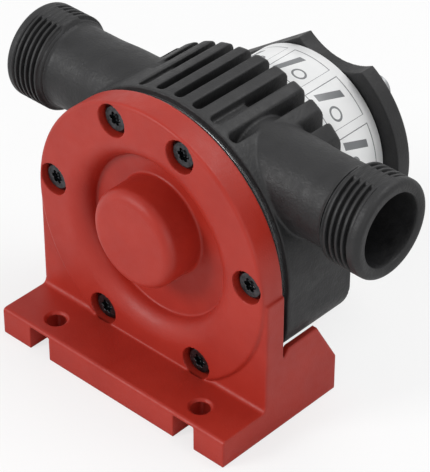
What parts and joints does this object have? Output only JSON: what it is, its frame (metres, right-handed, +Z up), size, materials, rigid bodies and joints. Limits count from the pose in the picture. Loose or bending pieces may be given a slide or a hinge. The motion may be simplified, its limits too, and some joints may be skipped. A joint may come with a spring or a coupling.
{
  "type": "drill powered pump",
  "caption": "Self-priming water pump turned by a drill: red cover and stand, black finned body, threaded ports on both sides, rubber vane impeller and a bare drive shaft.",
  "frame": {"origin": "on the underside of the foot, midway between its ends, below the plane of the round cover's face", "axes": "+X along the two ports' common axis, +Y along the drive shaft from the red cover to the drill end, +Z up from the base"},
  "size_m": [0.1194, 0.1055, 0.0799],
  "materials": {
    "red_cover": "satin moulded",
    "black_housing": "fine moulded grain",
    "label_film": "printed film, plain frames only",
    "dark_screws": "black oxide",
    "bright_steel": "ground",
    "stainless_sheet": "rolled",
    "spring_steel": "oiled",
    "bronze": "machined",
    "brass_sheet": "pressed",
    "black_rubber": "moulded",
    "vane_rubber": "moulded"
  },
  "bodies": {
    "pump_body": {"cover_stand": "red_cover", "cover_screws": "dark_screws", "cover_gasket": "black_rubber", "wear_plate": "stainless_sheet", "front_bush": "bronze", "pump_housing": "black_housing", "label_band": "label_film", "rear_cover": "black_housing", "rear_cover_screws": "dark_screws", "dust_seal": "black_rubber", "seal_case": "bright_steel", "seal_lip": "black_rubber", "seal_spring": "bright_steel", "spacer_sleeve": "black_housing", "bearing_outer_ring": "bright_steel", "bearing_shields": "stainless_sheet"},
    "rotor": {"drive_shaft": "bright_steel", "impeller_hub": "bronze", "impeller_vanes": "vane_rubber", "drive_pin": "bright_steel", "slinger_ring": "black_rubber", "bearing_inner_ring": "bright_steel", "front_circlip": "spring_steel", "rear_circlip": "spring_steel"},
    "ball_cage": {"bearing_cage": "brass_sheet", "bearing_balls": "bright_steel"}
  },
  "joints": [
    {"name": "rotor_spin", "type": "hinge", "parent": "pump_body", "child": "rotor", "pos_m": [0, 0.0206, 0.0448], "axis": [0, 1, 0], "continuous": true},
    {"name": "cage_spin", "type": "hinge", "parent": "pump_body", "child": "ball_cage", "pos_m": [0, 0.0535, 0.0448], "axis": [0, 1, 0], "continuous": true}
  ],
  "couplings": [
    {"joint": "cage_spin", "follows": "rotor_spin", "ratio": 0.368}
  ]
}
